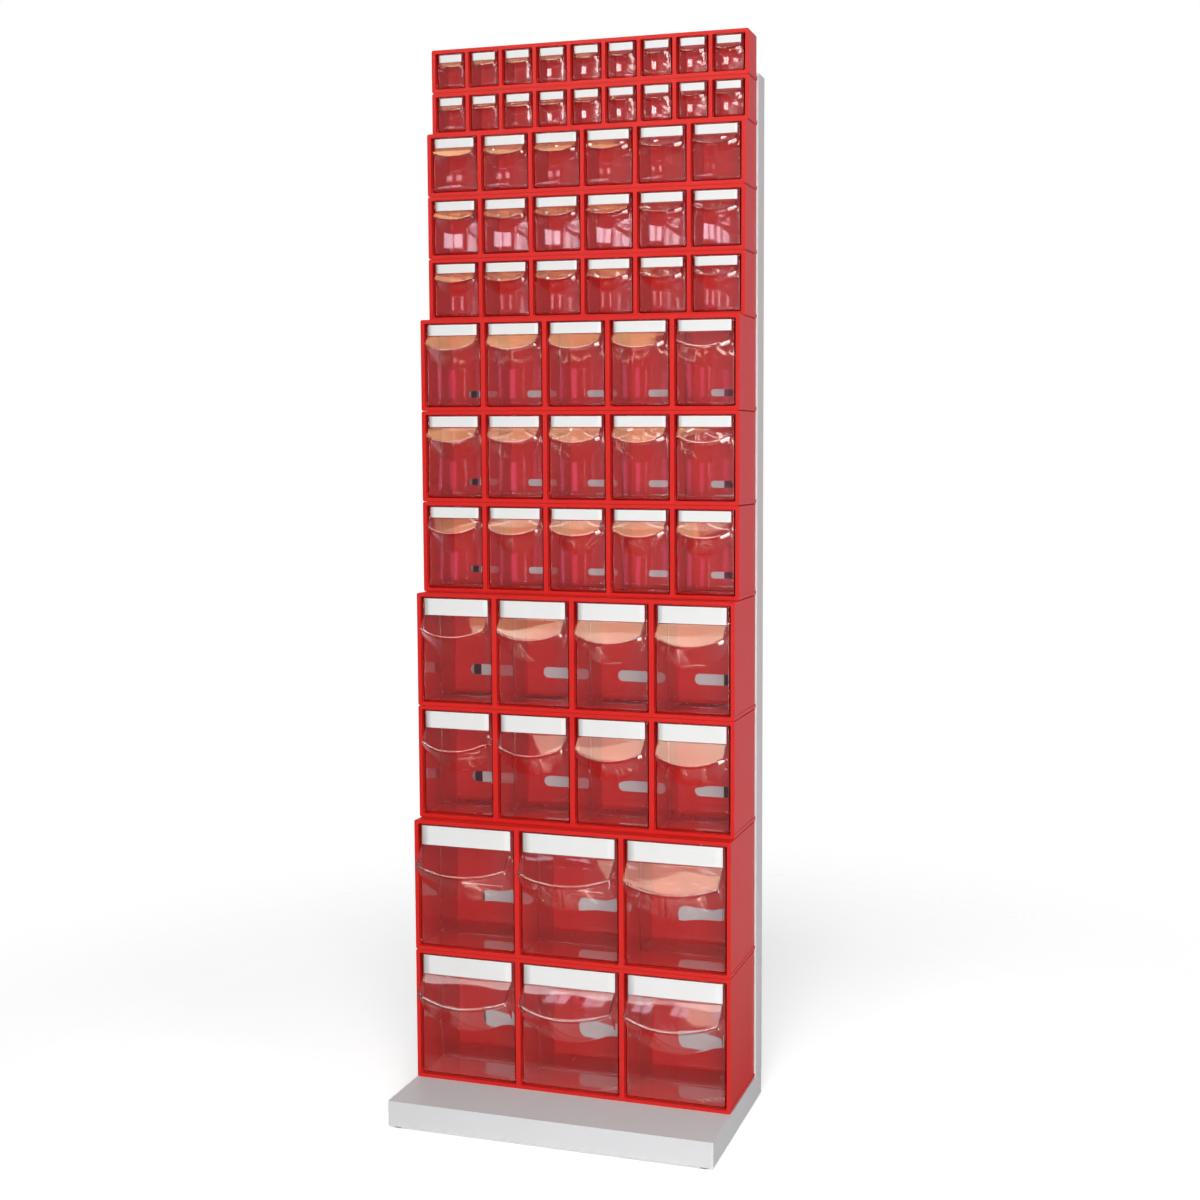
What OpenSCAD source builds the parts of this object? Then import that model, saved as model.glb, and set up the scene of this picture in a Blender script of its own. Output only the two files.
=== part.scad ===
// Parts bin cabinet: twelve moulded units of clear tilt bins, stacked on a plinth
// and hung on a folded sheet-steel column. Millimetres, +X right, +Y back, +Z up.
// The origin is on the floor, at the centre of the base.

/* [Stack] */
// Width of every unit
unit_w = 600; // [560:5:660]
// Units with nine bins, at the top
nine_units = 2; // [1:1:3]
// Units with six bins
six_units = 3; // [1:1:4]
// Units with five bins
five_units = 3; // [1:1:4]
// Units with four bins
four_units = 2; // [1:1:3]
// Units with three bins, at the bottom
three_units = 2; // [1:1:3]

/* [Nine-bin unit] */
// Height of the unit
nine_h = 77; // [74:1:90]
// Depth of the casing
nine_d = 54; // [50:1:66]
// How far the grip stands out of the casing
nine_grip = 8; // [6:1:10]
// How far the grip's edge bows down between its ends
nine_bow = 6; // [3:1:8]
// Height of the label card
nine_label_h = 13; // [10:1:15]
// Width of the front of a divider
nine_rim = 6.5; // [5.5:0.5:8]

/* [Six-bin unit] */
// Height of the unit
six_h = 112; // [104:1:124]
// Depth of the casing
six_d = 75; // [70:1:88]
// How far the grip stands out of the casing
six_grip = 16; // [12:1:18]
// How far the grip's edge bows down between its ends
six_bow = 12; // [6:1:14]
// Height of the label card
six_label_h = 16; // [12:1:20]
// Width of the front of a divider
six_rim = 7; // [6:0.5:9]

/* [Five-bin unit] */
// Height of the unit
five_h = 164; // [154:1:180]
// Depth of the casing
five_d = 109; // [102:1:124]
// How far the grip stands out of the casing
five_grip = 24; // [18:1:27]
// How far the grip's edge bows down between its ends
five_bow = 18; // [10:1:20]
// Height of the label card
five_label_h = 19; // [15:1:24]
// Width of the front of a divider
five_rim = 8; // [6.5:0.5:10]
// Length of the slots in the back wall
five_slot_l = 44; // [34:1:56]
// Height of the slots in the back wall
five_slot_h = 12.5; // [9:0.5:16]
// Height of the slots' centres over the unit's underside
five_slot_z = 34; // [30:1:38]

/* [Four-bin unit] */
// Height of the unit
four_h = 206; // [196:1:220]
// Depth of the casing
four_d = 136; // [128:1:150]
// How far the grip stands out of the casing
four_grip = 32; // [26:1:35]
// How far the grip's edge bows down between its ends
four_bow = 20; // [12:1:22]
// Height of the label card
four_label_h = 30; // [24:1:34]
// Width of the front of a divider
four_rim = 9; // [7:0.5:11]
// Length of the slots in the back wall
four_slot_l = 76; // [60:1:90]
// Height of the slots in the back wall
four_slot_h = 20.5; // [15:0.5:24]
// Height of the slots' centres over the unit's underside
four_slot_z = 49; // [44:1:54]

/* [Three-bin unit] */
// Height of the unit
three_h = 240; // [230:1:256]
// Depth of the casing
three_d = 157; // [148:1:170]
// How far the grip stands out of the casing
three_grip = 40; // [32:1:43]
// How far the grip's edge bows down between its ends
three_bow = 20; // [12:1:24]
// Height of the label card
three_label_h = 35; // [28:1:39]
// Width of the front of a divider
three_rim = 9; // [7:0.5:11]
// Length of the slots in the back wall
three_slot_l = 92; // [76:1:110]
// Height of the slots in the back wall
three_slot_h = 26; // [20:0.5:30]
// Height of the slots' centres over the unit's underside
three_slot_z = 61; // [54:1:66]

/* [Casing] */
// Gap between each unit and the one above it
stack_gap = 0.5; // [0.3:0.1:0.8]
// Thickness of the sides, floor and top of a casing
casing_wall = 3; // [2.5:0.1:3.5]
// Thickness of the back wall
back_wall = 2.5; // [2:0.1:3]
// Thickness of the dividers between the cells
divider = 3; // [2:0.1:3.5]
// Depth of the rim that frames the cells in front
rim_d = 4; // [3:0.1:4.5]
// Width of the rim at the left and right ends
rim_side = 7; // [6:0.5:9]
// Height of the rim over and under the cells
rim_h = 6.5; // [5.5:0.5:7.5]
// Radius of the casing's outer corners
casing_r = 3.5; // [2:0.5:5]
// Radius of the corners of the front openings
opening_r = 2.5; // [1:0.5:3.5]
// Step between the casing's side and the border in front of it and under it
side_step = 0.8; // [0.4:0.1:1.2]
// Height of that border under the side
side_border = 7.5; // [6:0.5:9]
// Depth of the tapered strip at the rear edge of the sides
taper_d = 18; // [10:1:22]
// How far the strip tapers in
taper_w = 1; // [0.5:0.1:1.4]

/* [Bin] */
// Wall thickness of the bins
bin_wall = 2; // [1.6:0.1:2.6]
// Gap between a bin's side and the rim
side_gap = 2; // [1.5:0.1:2.5]
// Gap between a bin and the rim above and below it
rim_gap = 1; // [0.8:0.1:1.5]
// How far the bins' fronts sit behind the casing's front
recess = 1; // [0.5:0.1:1.5]
// Gap between a bin and the back wall
rear_gap = 4; // [3:0.5:6]
// Radius along the bin's bottom front edge, centred on the pivot
heel_r = 7; // [6.5:0.1:9]
// Radius along the bin's bottom rear edge
tail_r = 12; // [8:0.5:14]
// Width of the stop tab on the rear wall, as a share of the flat of the wall
tab_share = 0.8; // [0.3:0.05:0.95]
// Radius of the bin's upright edges
edge_r = 5; // [3:0.5:6]
// Angle of the grip's slope from the vertical
grip_angle = 43; // [38:1:48]
// Height of the grip's edge band, square to the slope
grip_band = 8; // [6:0.5:10]
// How far the grip's underside falls for each millimetre it runs back
grip_run = 1.35; // [1.1:0.05:1.6]
// Strip of bin beside and under the label
label_edge = 0.8; // [0.5:0.1:1.5]
// Height of the strip of bin over the label
label_top = 2; // [1:0.5:3]
// Depth of the pocket that holds the label card
label_pocket = 0.5; // [0.3:0.1:0.8]
// Gap between the label card and its pocket
label_gap = 0.1; // [0.05:0.05:0.3]
// Width of the ribs that hold a partition
rib_w = 1.2; // [0.8:0.1:1.6]
// Gap between a pair of partition ribs
rib_slot = 2; // [1.6:0.1:2.6]
// Largest angle at which a bin tips forward
tilt = 40; // [30:1:41]

/* [Pivot] */
// Radius of the pegs that the bins turn on
peg_r = 3; // [2:0.1:3.2]
// Clearance around a peg in its socket
peg_gap = 0.5; // [0.2:0.05:0.6]
// Gap between a bin's side and the socket beside it
socket_gap = 0.8; // [0.5:0.1:1]
// Thickness of the socket behind the peg
socket_wall = 3; // [2:0.5:4]
// Length of the pads that a closed bin rests on
rest_l = 10; // [6:1:14]
// Width of those pads
rest_w = 3; // [2:0.5:5]
// Gap between the pads and a closed bin
rest_gap = 0.5; // [0.3:0.1:0.8]

/* [Column] */
// Depth of the column
column_d = 43; // [36:1:60]
// How far the column is wider than the units, in all
column_extra = 3.5; // [1:0.5:8]
// Height of the column's top over the underside of the top unit
column_reach = 14; // [12:1:22]
// Thickness of the column's sheet
column_sheet = 1.5; // [1.2:0.1:2]
// Outer radius of the column's folds
fold_r = 3; // [2.5:0.5:5]
// Width of the column's inward rear flanges
flange_w = 25; // [15:1:40]
// Distance of the hanging holes' centres from the units' sides
hang_inset = 50; // [42:1:65]
// Width of the hanging holes
hang_w = 20; // [16:1:26]
// Height of the hanging holes
hang_h = 34; // [26:1:38]
// Height of the hooks' seats over the underside of a unit without slots
hook_z = 16; // [14:1:20]
// Width of the hooks on the casings
hook_w = 12; // [8:1:14]
// Thickness of the hooks
hook_t = 2.5; // [2:0.5:3.5]
// Length of the hooks' tongues under their seats
hook_l = 7; // [5:0.5:9]
// Gap between a hook's tongue and the column's sheet
hook_gap = 0.5; // [0.2:0.1:1]

/* [Base] */
// How far the base is wider than the units, in all
base_extra = 2; // [0:0.5:30]
// Depth of the base
base_d = 306; // [290:1:340]
// Height of the base's top over the floor
base_h = 48; // [40:1:70]
// Thickness of the base's sheet
base_sheet = 2; // [1.5:0.1:3]
// Width of the base's inward bottom flanges
base_flange = 34; // [30:1:45]
// Height of the glides under the base
glide_h = 3; // [2:0.5:6]
// Radius of the glides
glide_r = 14; // [8:1:15]
// Radius of the glides' studs
stud_r = 4; // [3:0.5:5]
// Radius of the holes in the base's sides
side_hole_r = 4; // [2.5:0.5:5]
// Distance of those holes from the base's rear
side_hole_rear = 15; // [12:0.5:20]
// Height of those holes over the base's bottom edge
side_hole_z = 8.5; // [7:0.5:14]

/* [Fixings] */
// Radius of the bolts that hold the column on the base
bolt_r = 3; // [2.5:0.5:4]
// Distance of those bolts from the column's front and rear
bolt_edge = 12; // [10:1:16]
// Distance of those bolts from the units' sides
bolt_inset = 60; // [30:5:100]
// Radius of the screws that hold the top unit
screw_r = 2; // [1.5:0.25:2.25]
// Height of those screws over the top unit's underside
screw_z = 7.5; // [7:0.1:8]

/* [Hidden] */
$fn = 48;
tiny = 0.01;

// Values of the five unit sizes, smallest first
bins_in = [9, 6, 5, 4, 3];
units_of = [nine_units, six_units, five_units, four_units, three_units];
unit_h = [nine_h, six_h, five_h, four_h, three_h];
unit_d = [nine_d, six_d, five_d, four_d, three_d];
grip_of = [nine_grip, six_grip, five_grip, four_grip, three_grip];
bow_of = [nine_bow, six_bow, five_bow, four_bow, three_bow];
label_of = [nine_label_h, six_label_h, five_label_h, four_label_h, three_label_h];
rim_of = [nine_rim, six_rim, five_rim, four_rim, three_rim];
slot_of = [
    undef,
    undef,
    [five_slot_l, five_slot_h, five_slot_z],
    [four_slot_l, four_slot_h, four_slot_z],
    [three_slot_l, three_slot_h, three_slot_z]
];

// A hanging hole is centred behind the unit's slots, where it has slots
function seat_z(size) = slot_of[size] == undef ? hook_z : slot_of[size][2] - hang_h / 2;

// Size index of each unit, from the top unit down
stack = [for (size = [0 : 4]) for (k = [1 : units_of[size]]) size];
last_row = len(stack) - 1;
function underside(row) = row == last_row ? base_h : underside(row + 1) + unit_h[stack[row + 1]];
stack_top = underside(0) + unit_h[stack[0]];

// The units' backs lie against the column's front
rear_y = base_d / 2 - column_d;
column_w = unit_w + column_extra;
base_w = unit_w + base_extra;
hang_x = unit_w / 2 - hang_inset;
bolt_x = unit_w / 2 - bolt_inset;
column_top = underside(0) + column_reach;

// Cells: equal openings between the end rims and the dividers' fronts
function opening_w(size) =
    (unit_w - 2 * rim_side - (bins_in[size] - 1) * rim_of[size]) / bins_in[size];
function pitch(size) = opening_w(size) + rim_of[size];
function cell_x(size, cell) = (cell - (bins_in[size] - 1) / 2) * pitch(size);
function cell_left(size, cell) = cell == 0
    ? -unit_w / 2 + casing_wall + side_step
    : cell_x(size, cell) - pitch(size) / 2 + divider / 2;
function cell_right(size, cell) = -cell_left(size, bins_in[size] - 1 - cell);

function casing_h(size) = unit_h[size] - stack_gap;

// Bins, in the unit's frame: y from the casing's front, z from its underside
bin_floor = rim_h + rim_gap;
pivot_y = recess + heel_r;
pivot_z = bin_floor + heel_r;
function bin_w(size) = opening_w(size) - 2 * side_gap;
function face_w(size) = bin_w(size) - 2 * edge_r;
function bin_top(size) = casing_h(size) - rim_h - rim_gap;
function bin_rear(size) = unit_d[size] - back_wall - rear_gap;
function label_z(size) = bin_top(size) - label_top - label_of[size];
function label_w(size) = face_w(size) - 2 * label_edge;
function grip_z(size) = label_z(size) - label_edge;
// Radius that the side walls keep to, to pass under the rim
function swing_r(size) = bin_top(size) - pivot_z;
// Radius of the top of the stop tab on the rear wall
function stop_r(size) = casing_h(size) - casing_wall - 1.5 * rim_gap - pivot_z;

function tab_w(size) = tab_share * face_w(size);

// Pegs reach from the bin's side to just short of the divider
function peg_l(size) = (rim_of[size] - divider) / 2 + side_gap - socket_gap;

// Names of the bins: one node for each bin, and four nodes for the small bins
function two_digits(n) = n < 10 ? str("0", n) : str(n);
function bin_name(row, cell) = str("bin_", two_digits(row + 1), "_", cell + 1);
single_bins = [
    for (row = [0 : last_row]) if (stack[row] > 0)
    for (cell = [0 : bins_in[stack[row]] - 1]) [row, cell]
];
half_row = ceil(bins_in[0] / 2);
small_groups = [
    for (row = [0 : nine_units - 1]) for (side = ["left", "right"])
    [str("small_bins_", two_digits(row + 1), "_", side), row,
        side == "left" ? [0 : half_row - 1] : [half_row : bins_in[0] - 1]]
];
casing_names = ["nine_bin_casings", "six_bin_casings", "five_bin_casings",
    "four_bin_casings", "three_bin_casings"];

red = [0.80, 0.09, 0.08];
clear = [0.90, 0.93, 0.95, 0.45];
card_white = [0.96, 0.96, 0.96];
light_grey = [0.82, 0.83, 0.84];
zinc = [0.70, 0.71, 0.73];
black = [0.08, 0.08, 0.08];

// ---- shared shapes ----

// Rectangle from one corner to the other, with all its corners rounded
module round_rect(from, to, r) {
    polygon([
        [from.x + r, from.y], [to.x - r, from.y], [to.x, from.y + r], [to.x, to.y - r],
        [to.x - r, to.y], [from.x + r, to.y], [from.x, to.y - r], [from.x, from.y + r]
    ]);
    for (x = [from.x + r, to.x - r]) for (y = [from.y + r, to.y - r])
        translate([x, y]) circle(r);
}

// Level slot with round ends
module stadium(length, height) {
    square([length - height, height], center = true);
    for (x = [-1, 1]) translate([x * (length - height) / 2, 0]) circle(height / 2);
}

// A shape drawn in X and Z, extruded back from one depth to another
module along_y(from, to) {
    translate([0, to, 0]) rotate([90, 0, 0]) linear_extrude(to - from) children();
}

// A shape drawn in Y and Z, extruded across X about the middle
module across_x(width) {
    rotate([90, 0, 90]) linear_extrude(width, center = true) children();
}

module block(from, to) {
    translate(from) cube(to - from);
}

// ---- casings ----

// Outer form: a full-width rim and lower border, and sides stepped in behind them
module casing_outside(size) {
    h = casing_h(size);
    d = unit_d[size];
    half = unit_w / 2;
    inner = half - side_step;
    intersection() {
        along_y(0, d) round_rect([-half, 0], [half, h], casing_r);
        union() {
            block([-half, 0, 0], [half, rim_d + side_step, h]);
            block([-half, 0, 0], [half, d, side_border]);
            linear_extrude(h) polygon([
                [-inner, 0], [inner, 0], [inner, d - taper_d], [inner - taper_w, d],
                [taper_w - inner, d], [-inner, d - taper_d]
            ]);
        }
    }
}

// Side view of a peg socket, cut open at the top so that the bin lifts out
module socket_profile() {
    difference() {
        translate([rim_d - tiny, casing_wall - tiny])
            square([pivot_y + peg_r + peg_gap + socket_wall - rim_d, pivot_z - casing_wall]);
        translate([pivot_y, pivot_z]) circle(peg_r + peg_gap);
    }
}

// Pair of sockets in the lower front corners of one cell
module sockets(size, cell) {
    x = cell_x(size, cell);
    inner = bin_w(size) / 2 + socket_gap;
    for (span = [[cell_left(size, cell) - tiny, x - inner], [x + inner, cell_right(size, cell) + tiny]])
        translate([(span[0] + span[1]) / 2, 0, 0]) across_x(span[1] - span[0]) socket_profile();
}

// Pads on a cell's floor, under the rear of the closed bin
module rest_pads(size, cell) {
    rear = bin_rear(size) - tail_r;
    for (side = [-1, 1]) translate([cell_x(size, cell) + side * opening_w(size) / 4, 0, 0])
        block([-rest_w / 2, rear - rest_l, casing_wall - tiny],
            [rest_w / 2, rear, bin_floor - rest_gap]);
}

// Side view of a hook, which drops behind the lower edge of its hanging hole
module hook_profile(size) {
    d = unit_d[size];
    behind = d + column_sheet + hook_gap;
    translate([d - tiny, seat_z(size)]) square([behind + hook_t - d, 2 * hook_t]);
    translate([behind, seat_z(size) - hook_l]) square([hook_t, hook_l + 2 * hook_t]);
}

// One moulded casing in its own frame, with hooks unless it stands over the column
module casing(size, hooked = true) {
    h = casing_h(size);
    d = unit_d[size];
    cells = [0 : bins_in[size] - 1];
    difference() {
        casing_outside(size);
        for (cell = cells)
            block([cell_left(size, cell), rim_d, casing_wall],
                [cell_right(size, cell), d - back_wall, h - casing_wall]);
        along_y(-1, rim_d + 1) for (cell = cells) translate([cell_x(size, cell), 0])
            round_rect([-opening_w(size) / 2, rim_h], [opening_w(size) / 2, h - rim_h], opening_r);
        if (slot_of[size] != undef) along_y(d - back_wall - 1, d + 1) for (cell = cells)
            translate([cell_x(size, cell), slot_of[size][2]])
                stadium(slot_of[size][0], slot_of[size][1]);
        if (!hooked) for (side = [-1, 1]) translate([side * hang_x, 0, screw_z])
            along_y(d - back_wall - 1, d + 1) circle(screw_r + peg_gap / 2);
    }
    for (cell = cells) {
        sockets(size, cell);
        rest_pads(size, cell);
    }
    if (hooked) for (side = [-1, 1])
        translate([side * hang_x, 0, 0]) across_x(hook_w) hook_profile(size);
}

module casings(size) {
    color(red) for (row = [0 : last_row]) if (stack[row] == size)
        translate([0, rear_y - unit_d[size], underside(row)]) casing(size, hooked = row > 0);
}

// ---- bins ----

// Side view of the bin's box, from its front to its rear, with its bottom edges rounded
module box_profile(size, inset, top) {
    front = recess + inset;
    rear = bin_rear(size) - inset;
    low = bin_floor + inset;
    tail = tail_r - inset;
    polygon([
        [front, pivot_z], [pivot_y, low], [rear - tail, low], [rear, low + tail],
        [rear, top], [front, top]
    ]);
    translate([pivot_y, pivot_z]) circle(heel_r - inset);
    translate([rear - tail, low + tail]) circle(tail);
}

// Box with upright edges rounded in plan, from the side view given
module bin_box(size, inset) {
    half = bin_w(size) / 2 - inset;
    intersection() {
        across_x(bin_w(size) + 2) children();
        linear_extrude(2 * unit_h[size])
            round_rect([-half, recess + inset], [half, bin_rear(size) - inset], edge_r - inset);
    }
}

// Height over the pivot of a circle about it, at a distance behind it
function rise(radius, behind) = sqrt(radius * radius - behind * behind);

// Side view of what swings clear of the rim, drawn about the pivot: level in front of the
// pivot, round behind it, and straight over the rear corners
module swing_profile(size) {
    r = swing_r(size);
    rear = bin_rear(size) - pivot_y;
    last = rear - tail_r;
    fall = rise(r, last) - rise(r, rear);
    difference() {
        union() {
            circle(r, $fn = 180);
            translate([-heel_r - 1, 0]) square([heel_r + 1, r]);
        }
        polygon([
            [last, rise(r, last)], [rear + tail_r, rise(r, rear) - fall],
            [rear + tail_r, 2 * r], [last, 2 * r]
        ]);
    }
}

// The box, and the tab on its rear wall that meets the rim from inside and stops the bin
module bin_outside(size) {
    rear = bin_rear(size);
    bin_box(size, 0) intersection() {
        box_profile(size, 0, unit_h[size]);
        translate([pivot_y, pivot_z]) swing_profile(size);
    }
    block(
        [-tab_w(size) / 2, rear - 2 * bin_wall, pivot_z + rise(swing_r(size), rear - pivot_y) - heel_r],
        [tab_w(size) / 2, rear, pivot_z + rise(stop_r(size), rear - pivot_y)]);
}

module bin_inside(size) {
    bin_box(size, bin_wall) box_profile(size, bin_wall, 1.5 * unit_h[size]);
}

// Grip: a ring turned about an axis square to its slope, so that the slope is flat,
// the edge bows down and forward, and the underside runs back to the front as a cone
module grip(size, inset) {
    slope = (grip_of[size] + recess) / sin(grip_angle);
    fall = slope * cos(grip_angle);
    half = face_w(size) / 2;
    bow = bow_of[size];
    ring_r = (half * half + bow * bow) / (2 * bow);
    axis_v = slope - ring_r;
    band = grip_band * slope / (slope + 10);
    drop = fall + band * sin(grip_angle) + grip_run * (slope * sin(grip_angle) - band * cos(grip_angle));
    foot = [drop * cos(grip_angle) - axis_v, -drop * sin(grip_angle)];
    lean = (foot.x - ring_r) / (foot.y + band);
    shift = inset * sqrt(1 + lean * lean);
    intersection() {
        translate([0, recess - axis_v * sin(grip_angle), grip_z(size) - axis_v * cos(grip_angle)])
            rotate([90 - grip_angle, 0, 0]) rotate_extrude($fn = 120) polygon([
                [0, -inset], [ring_r - inset, -inset],
                [ring_r - inset, -band + (shift - inset) / lean],
                [foot.x - shift, foot.y], [0, foot.y]
            ]);
        block([inset - half, -grip_of[size] - 1, grip_z(size) - drop],
            [half - inset, recess + (inset > 0 ? bin_wall + 1 : bin_wall / 2), grip_z(size) + bin_wall]);
    }
}

// Pairs of ribs on the sides and floor that take a partition at mid-depth
module partition_ribs(size) {
    half = bin_w(size) / 2 - bin_wall;
    mid = (recess + bin_rear(size)) / 2;
    low = bin_floor + bin_wall;
    reach = sqrt(pow(swing_r(size), 2) - pow(mid + rib_slot - pivot_y, 2));
    for (way = [-1, 1]) {
        y = mid + way * (rib_slot + rib_w) / 2;
        for (side = [-1, 1]) translate([side * (half - rib_w / 2 + tiny), y, 0])
            translate([-rib_w / 2, -rib_w / 2, low - tiny])
                cube([rib_w, rib_w, pivot_z + 0.9 * reach - low]);
        block([-half, y - rib_w / 2, low - tiny], [half, y + rib_w / 2, low + rib_w]);
    }
}

module label_card(size) {
    half = label_w(size) / 2 - label_gap;
    color(card_white) block(
        [-half, recess - label_gap, label_z(size) + label_gap],
        [half, recess + label_pocket - label_gap, label_z(size) + label_of[size] - label_gap]);
}

module clear_bin(size) {
    color(clear) {
        difference() {
            union() {
                bin_outside(size);
                grip(size, 0);
                translate([0, pivot_y, pivot_z]) rotate([0, 90, 0])
                    cylinder(r = peg_r, h = bin_w(size) + 2 * peg_l(size), center = true);
            }
            bin_inside(size);
            grip(size, bin_wall);
            block([-label_w(size) / 2, -1, label_z(size)],
                [label_w(size) / 2, recess + label_pocket, label_z(size) + label_of[size]]);
        }
        if (size > 1) partition_ribs(size);
    }
    label_card(size);
}

module placed_bin(row, cell) {
    size = stack[row];
    translate([cell_x(size, cell), rear_y - unit_d[size], underside(row)]) clear_bin(size);
}

// ---- column, base and fixings ----

// Holes for the hooks of every unit that hangs on the column
module hanging_holes() {
    for (row = [1 : last_row]) for (side = [-1, 1])
        translate([side * hang_x, rear_y, underside(row) + seat_z(stack[row])])
            block([-hang_w / 2, -1, 0], [hang_w / 2, fold_r, hang_h]);
}

// Plan of the folded sheet: a front, two sides and two flanges at the rear
module column_plan() {
    half = column_w / 2;
    difference() {
        round_rect([-half, rear_y], [half, rear_y + column_d], fold_r);
        round_rect([column_sheet - half, rear_y + column_sheet],
            [half - column_sheet, rear_y + column_d - column_sheet], fold_r - column_sheet);
        translate([flange_w - half, rear_y + column_d / 2])
            square([column_w - 2 * flange_w, column_d]);
    }
}

module column_end(z) {
    half = column_w / 2;
    translate([0, 0, z]) linear_extrude(column_sheet)
        round_rect([-half, rear_y], [half, rear_y + column_d], fold_r);
}

module bolt_places() {
    for (x = [-bolt_x, bolt_x]) for (y = [rear_y + bolt_edge, rear_y + column_d - bolt_edge])
        translate([x, y, 0]) children();
}

module column() {
    color(light_grey) difference() {
        union() {
            translate([0, 0, base_h]) linear_extrude(column_top - base_h) column_plan();
            column_end(base_h);
            column_end(column_top - column_sheet);
        }
        hanging_holes();
        bolt_places() cylinder(r = bolt_r + peg_gap, h = base_h + 2 * column_sheet);
        for (side = [-1, 1]) translate([side * hang_x, 0, underside(0) + screw_z])
            along_y(rear_y - 1, rear_y + fold_r) circle(screw_r + peg_gap / 2);
    }
}

module glide_places() {
    for (x = [-1, 1]) for (y = [-1, 1])
        translate([x * (base_w / 2 - base_flange / 2), y * (base_d / 2 - base_flange / 2), 0])
            children();
}

// Folded tray, open below, with flanges that carry the glides
module base() {
    half = [base_w / 2, base_d / 2];
    sheet = [base_sheet, base_sheet];
    flange = [base_flange, base_flange];
    color(light_grey) difference() {
        translate([0, 0, glide_h]) linear_extrude(base_h - glide_h)
            round_rect(-half, half, fold_r);
        translate([0, 0, glide_h + base_sheet]) linear_extrude(base_h - glide_h - 2 * base_sheet)
            round_rect(sheet - half, half - sheet, fold_r - 1);
        linear_extrude(base_h / 2) round_rect(flange - half, half - flange, fold_r);
        glide_places() cylinder(r = stud_r + peg_gap / 2, h = base_h / 2);
        bolt_places() cylinder(r = bolt_r + peg_gap, h = base_h + 1);
        translate([0, base_d / 2 - side_hole_rear, glide_h + side_hole_z]) rotate([0, 90, 0])
            cylinder(r = side_hole_r, h = base_w + 2, center = true);
    }
}

module glides() {
    color(black) glide_places() {
        cylinder(r = glide_r, h = glide_h);
        cylinder(r = stud_r, h = glide_h + 2 * base_sheet);
    }
}

// Bolt through the column's foot and the base, head above and nut below
module base_bolt() {
    low = base_h - base_sheet;
    high = base_h + column_sheet;
    translate([0, 0, low - 2 * bolt_r]) cylinder(r = bolt_r, h = high - low + 2 * bolt_r + 1);
    translate([0, 0, low - 5]) cylinder(r = 1.9 * bolt_r, h = 5, $fn = 6);
    translate([0, 0, high]) cylinder(r = 1.9 * bolt_r, h = 4, $fn = 6);
}

// Pan-head screw through the top unit's back wall and the column's front
module unit_screw() {
    front = rear_y - back_wall;
    rotate([-90, 0, 0]) {
        translate([0, 0, front - screw_r]) cylinder(r = 1.8 * screw_r, h = screw_r);
        translate([0, 0, front - tiny]) cylinder(r = screw_r, h = back_wall + column_sheet + 4);
        translate([0, 0, rear_y + column_sheet]) cylinder(r = 2 * screw_r, h = 3, $fn = 6);
    }
}

module fixings() {
    color(zinc) {
        bolt_places() base_bolt();
        for (side = [-1, 1]) translate([side * hang_x, 0, underside(0) + screw_z]) unit_screw();
    }
}

// ---- the assembly ----

column();
base();
glides();
fixings();
for (size = [0 : 4]) casings(size);
for (group = small_groups) for (cell = group[2]) placed_bin(group[1], cell);
for (b = single_bins) placed_bin(b[0], b[1]);
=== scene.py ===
import math

import bmesh
import bpy
import numpy as np
from mathutils import Matrix, Vector


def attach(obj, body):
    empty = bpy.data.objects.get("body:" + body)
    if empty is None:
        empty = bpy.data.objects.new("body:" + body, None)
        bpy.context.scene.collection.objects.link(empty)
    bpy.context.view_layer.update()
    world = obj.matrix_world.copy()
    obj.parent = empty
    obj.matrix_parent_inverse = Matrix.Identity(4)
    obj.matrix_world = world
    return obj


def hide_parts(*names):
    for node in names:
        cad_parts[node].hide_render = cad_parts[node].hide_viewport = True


"""Looks for a cabinet of clear tilt bins in stacked red casings, on a grey steel column and base.

Lengths are in metres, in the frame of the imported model: x to the right, y to the rear, z up."""

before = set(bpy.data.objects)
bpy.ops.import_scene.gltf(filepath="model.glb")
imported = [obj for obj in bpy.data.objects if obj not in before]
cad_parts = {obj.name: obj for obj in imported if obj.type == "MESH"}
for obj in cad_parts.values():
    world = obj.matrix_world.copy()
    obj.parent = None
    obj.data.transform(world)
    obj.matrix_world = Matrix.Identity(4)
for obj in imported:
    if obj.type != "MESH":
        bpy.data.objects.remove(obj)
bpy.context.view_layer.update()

MM = 0.001
TINY = 1e-6

# The five unit sizes, smallest bins first, as the solids have them
BINS_IN = (9, 6, 5, 4, 3)
UNITS_OF = (2, 3, 3, 2, 2)
UNIT_H = (77 * MM, 112 * MM, 164 * MM, 206 * MM, 240 * MM)
UNIT_D = (54 * MM, 75 * MM, 109 * MM, 136 * MM, 157 * MM)
GRIP_OUT = (8 * MM, 16 * MM, 24 * MM, 32 * MM, 40 * MM)
GRIP_BOW = (6 * MM, 12 * MM, 18 * MM, 20 * MM, 20 * MM)
LABEL_H = (13 * MM, 16 * MM, 19 * MM, 30 * MM, 35 * MM)
RIM_OF = (6.5 * MM, 7 * MM, 8 * MM, 9 * MM, 9 * MM)
UNIT_W = 600 * MM
RIM_SIDE = 7 * MM
RIM_H = 6.5 * MM
RIM_GAP = 1 * MM
STACK_GAP = 0.5 * MM
SIDE_GAP = 2 * MM
EDGE_R = 5 * MM
RECESS = 1 * MM
LABEL_EDGE = 0.8 * MM
LABEL_TOP = 2 * MM
LABEL_POCKET = 0.5 * MM
CASING_WALL = 3 * MM
BACK_WALL = 2.5 * MM
REAR_GAP = 4 * MM
BIN_WALL = 2 * MM
HEEL_R = 7 * MM
TAIL_R = 12 * MM
GRIP_ANGLE = math.radians(43)
GRIP_BAND = 8 * MM
GRIP_RUN = 1.35
TAB_SHARE = 0.8
DIVIDER = 3 * MM
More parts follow.
